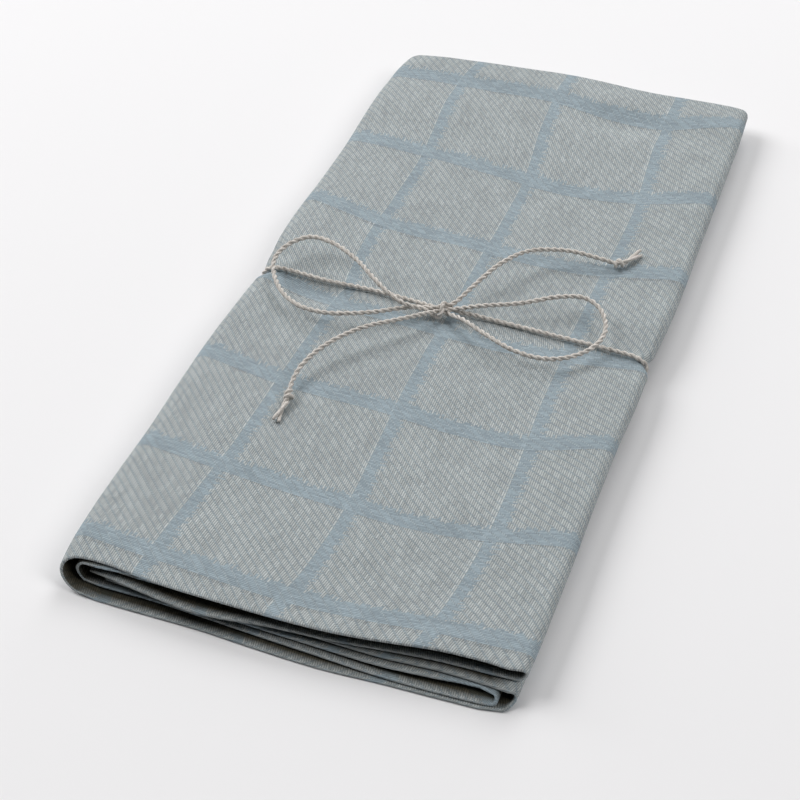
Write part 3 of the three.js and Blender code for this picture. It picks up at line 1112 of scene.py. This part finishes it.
    def underside(self, x: np.ndarray, y: np.ndarray) -> np.ndarray:
        """Height of the towel's underside, with the twine's channel and the wrap's round edge."""
        channel = self.channel_depth * bump((y - self.tie_y) / self.channel_half)
        return np.maximum(channel, self.edge_lift * ramp(x, *self.edge_x))

    def top(self, x: np.ndarray, y: np.ndarray) -> np.ndarray:
        """Height of the towel's top, with the dents that the photo shows.

        Args:
            x: places across the towel.
            y: places along it.

        Returns:
            The height at each place.
        """
        # Broad and narrow ripples of unpressed cloth.
        height = self.stack + 0.16 * np.sin(x / 9.5 + 1.1 * np.sin(y / 31)) * np.sin(y / 14 + 0.8)
        height = height + 0.10 * np.sin(x / 5.3 - y / 11 + 2) * np.sin(y / 8.2 - x / 17)
        for depth, middle_x, half_x, middle_y, half_y in self.dents:
            height = height - depth * bump((x - middle_x) / half_x) * bump((y - middle_y) / half_y)
        for drop, start, end in self.end_slopes:
            height = height - drop * ramp(y, start, end)
        return height - self.slack * ramp(x, *self.slack_x) * ramp(y, *self.slack_y)

    def settle(self, x: np.ndarray, y: np.ndarray, z: np.ndarray) -> np.ndarray:
        """Takes points of the even stack to where outline, dents and channel put them.

        Args:
            x: crosswise places.
            y: lengthwise places.
            z: heights in the even stack.

        Returns:
            The points, with a last axis of three.
        """
        left = eased(y, *np.array(self.left_outline).T)
        right = eased(y, *np.array(self.right_outline).T)
        right = right - eased(y, *np.array(self.right_lean).T) * ramp(z, *self.lean_heights)
        across = left + (right - left) * (x + self.half_width) / (2 * self.half_width)
        share = z / self.stack
        wave = self.ply_wave * np.sin(np.pi * share) * np.sin(across / 17 + y / 40)
        low = self.underside(across, y)
        height = low + (self.top(across, y) - low) * share + wave
        return np.stack([across, y, height], axis=-1)

    def cross_line(self) -> dict[str, np.ndarray]:
        """The pair's middle line across the towel, from one free side edge to the other.

        Returns:
            What CrossLine.read returns, with the stations where the top panel starts and ends
            and the runs between which the pair's outer face is the pack's skin.
        """
        right = self.half_width - self.tight_turn - self.pair_half
        left = self.wide_turn + self.pair_half - self.half_width
        low = self.pair_half + self.pitch
        high = low + 4 * self.pitch
        draw = CrossLine(self.pair_half, self.pitch)
        coarse, fine = 6, 2
        tight_steps, wide_steps = 8, 14
        draw.panel(self.free_edges[0], right, 2, -1, self.second_panel, coarse)
        skin_start = draw.run()
        draw.fold(right, high, self.tight_turn, -90, self.upper_right_fold, tight_steps)
        top_start = draw.run()
        draw.panel(right, left, 3, 1, self.top_panel, fine)
        top_end = draw.run()
        draw.fold(left, self.stack / 2, self.wide_turn, 90, self.left_fold, wide_steps)
        draw.panel(left, right, 0, -1, self.bottom_panel, coarse)
        draw.fold(right, low, self.tight_turn, -90, self.lower_right_fold, tight_steps)
        skin_end = draw.run()
        draw.panel(right, self.free_edges[1], 1, 1, self.third_panel, coarse)
        line = draw.read()
        line["skin"] = (skin_start, skin_end)
        line["top"] = np.searchsorted(line["along"], (top_start - 1e-6, top_end - 1e-6))
        return line

    def lengthwise(self) -> np.ndarray:
        """Spaces a rail's places, closer at the front, at the twine and at the far fold.

        Returns:
            The places along the towel, rising.
        """
        parts = [
            np.arange(-self.half_length, -118, 1.0),
            np.arange(-118, -20, 2.6),
            np.arange(-20, 18, 1.2),
            np.arange(18, 106, 2.8),
            np.linspace(106, self.half_length, 14),
        ]
        return np.concatenate(parts)

    def cloth_place(
        self, line: dict, y: np.ndarray, past: np.ndarray, points: np.ndarray
    ) -> np.ndarray:
        """Where points lie in the unfolded cloth, with the check's bands at whole checks.

        Args:
            line: the crosswise line.
            y: lengthwise places, one row for each station.
            past: how far beyond the far fold a point lies along the cloth.
            points: the points, whose distances from station to station count beyond the top.

        Returns:
            Crosswise and lengthwise places in the cloth.
        """
        first, last = line["top"]
        station = np.arange(len(line["x"]))
        x = line["x"][np.clip(station, first, last)][:, None] + 0 * y
        bands = np.stack([eased(y, self.bands_y, row) for row in self.long_bands])
        marks = [bands[0] - self.check, *bands, bands[2] + self.check]
        across = self.piecewise(x, marks, [(k - 2) * self.check for k in range(5)])
        steps = np.linalg.norm(np.diff(points, axis=0), axis=2)
        run = np.concatenate([np.zeros_like(y[:1]), np.cumsum(steps, axis=0)])
        across -= np.minimum(run - run[first], 0) + np.maximum(run - run[last], 0)
        here = line["x"][:, None] + 0 * y
        rows = [eased(here, self.bands_x, row) for row in self.cross_bands]
        marks = [rows[0] - self.check, *rows, rows[-1] + self.check]
        values = [(k - 1) * self.check for k in range(len(marks))]
        along = self.piecewise(y, marks, values) + past
        return np.stack([across, along], axis=-1)

    @staticmethod
    def piecewise(at: np.ndarray, marks: list[np.ndarray], values: list[float]) -> np.ndarray:
        """Reads straight pieces between marks that differ from point to point.

        Args:
            at: where to read.
            marks: the marks, rising, each with one value for each point.
            values: what is read at each mark.

        Returns:
            The values, straight on beyond the first and last mark.
        """
        out = values[0] + (at - marks[0])
        for k in range(len(marks) - 1):
            share = (at - marks[k]) / (marks[k + 1] - marks[k])
            inside = values[k] + share * (values[k + 1] - values[k])
            out = np.where(at > marks[k], inside, out)
        return np.where(at > marks[-1], values[-1] + (at - marks[-1]), out)

    def loosened(self, line: dict, x: np.ndarray, y: np.ndarray) -> np.ndarray:
        """How far the inner ply moves inwards at the front of the left and lower right fold.

        Args:
            line: the crosswise line.
            x: crosswise places.
            y: lengthwise places.

        Returns:
            The move along x.
        """
        front = ramp(y, *self.loose_y)
        low = (line["z"] < self.stack / 2)[:, None]
        left = self.loose_left * ramp(x, *self.loose_left_x)
        right = self.loose_right * ramp(x, *self.loose_right_x) * low
        return front * (left - right)

    def rings(self, line: dict) -> tuple[np.ndarray, np.ndarray]:
        """The closed outline of the pair of plies at every station.

        Args:
            line: the crosswise line.

        Returns:
            Points and cloth places, by station and by point of the ring.
        """
        base = self.lengthwise()
        end, steady = self.half_length, self.steady_half
        front = 1 - ramp(base, -end, -steady)
        back = ramp(base, steady, end)
        outer, inner, far = (line[name][:, None] for name in ("outer", "inner", "far"))
        turn = far - self.pair_half
        half = self.ply / 2 * line["thick"][:, None]
        middle = self.pair_half - self.ply / 2
        outside, inside = middle + half, middle - half
        outer_end, inner_end = outer + self.ply / 2, inner + self.ply / 2
        outer_y = base + front * (outer_end + end) + back * (turn - end)
        inner_y = base + front * (inner_end + end) + back * (turn - end)
        far_arc = np.linspace(math.pi / 2, -math.pi / 2, self.far_points + 2)[1:-1]
        hem_arc = np.linspace(0, math.pi, self.hem_points + 2)[1:-1]
        round_y, round_away = half * np.sin(hem_arc), half * np.cos(hem_arc)
        flat = np.ones_like(base)
        skin, in_fold = ClothSide.SKIN.value, ClothSide.INSIDE.value
        # Lengthwise place, distance from the pair's middle, whether on the inner ply, and side.
        pieces = [
            (outer_y, outside * flat, 0.0, skin),
            (turn + outside * np.cos(far_arc), outside * np.sin(far_arc), 0.0, skin),
            (inner_y[:, ::-1], -outside * flat, 1.0, in_fold),
            (inner_end - round_y, -middle - round_away, 1.0, skin),
            (inner_y, -inside * flat, 1.0, in_fold),
            (turn + inside * np.cos(far_arc[::-1]), inside * np.sin(far_arc[::-1]), 0.0, in_fold),
            (outer_y[:, ::-1], inside * flat, 0.0, in_fold),
            (outer_end - round_y, middle - round_away, 0.0, skin),
        ]
        y = np.concatenate([piece[0] for piece in pieces], axis=1)
        away = np.concatenate([piece[1] for piece in pieces], axis=1)
        sizes = [piece[0].shape[1] for piece in pieces]
        on_inner = np.repeat([piece[2] for piece in pieces], sizes)
        side = np.repeat([piece[3] for piece in pieces], sizes)
        low = (line["z"] < self.stack / 2)[:, None] * (line["x"] > 0)[:, None]
        parted = ramp(y, *self.hairpin_y) * ramp(line["x"], *self.hairpin_x)[:, None] * low
        away = away + self.hairpin * on_inner * parted
        x = line["x"][:, None] + away * line["normal_x"][:, None]
        z = line["z"][:, None] + away * line["normal_z"][:, None]
        x = x + self.loosened(line, x, y) * on_inner
        points = self.settle(x, y, z)
        mirrored = np.where(on_inner > 0.5, 2 * far - y, y)
        past = np.maximum(mirrored - far, 0.0)
        place = self.cloth_place(line, np.minimum(mirrored, far), past, points)
        # Painted shade inside the folds: a share of it at the hems, all of it on inner faces and
        # tucked plies deeper in.
        depth = np.minimum(y - np.where(on_inner > 0.5, inner, outer), far - y)
        tucked = (line["along"] < line["skin"][0]) | (line["along"] > line["skin"][1])
        by_fold = ramp(line["x"], *self.left_fold_x)[:, None]
        at_hem = self.shade_at_hem + (self.shade_at_left_fold - self.shade_at_hem) * by_fold
        fold_shade = np.maximum(side, tucked[:, None] * (on_inner < 0.5)) * at_hem
        fold_shade = fold_shade + (np.maximum(side, tucked[:, None]) - fold_shade) * ramp(depth, *self.hem)
        return points, np.concatenate([place, fold_shade[..., None]], axis=-1)

    def build(self) -> None:
        line = self.cross_line()
        points, places = self.rings(line)
        stations, count = points.shape[:2]
        faces = []
        for i in range(stations - 1):
            for j in range(count):
                k = (j + 1) % count
                a, b = i * count, (i + 1) * count
                faces.append((a + j, a + k, b + k, b + j))
        rail = 2 * len(self.lengthwise()) + self.far_points
        hem = self.hem_points
        for base, flip in ((0, False), ((stations - 1) * count, True)):
            outer = list(range(rail))
            inner = [count - hem - 1 - k for k in range(rail)]
            for a, b, c, d in zip(outer[:-1], outer[1:], inner[1:], inner[:-1]):
                face = (base + a, base + d, base + c, base + b)
                faces.append(face[::-1] if flip else face)
            start = [base + k for k in (0, *range(count - 1, count - hem - 2, -1))]
            finish = [base + k for k in range(rail - 1, rail + hem + 1)]
            faces.append(start if not flip else start[::-1])
            faces.append(finish if not flip else finish[::-1])
        towel = build_piece("linen_towel", points.reshape(-1, 3), faces, DamaskLinen().make())
        kept = towel.data.attributes.new("cloth", "FLOAT_VECTOR", "POINT")
        kept.data.foreach_set("vector", places.reshape(-1))
        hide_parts("towel_cloth")
        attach(towel, ROOT_BODY)
        LOG.info("linen towel: %d faces in eight plies", len(faces))


def main() -> None:
    """Builds the studio, the twine and the towel."""
    logging.basicConfig(level=logging.INFO, format="%(name)s: %(message)s")
    Studio().build()
    TwineTie().build()
    FoldedTowel().build()


if __name__ == "__main__":
    main()
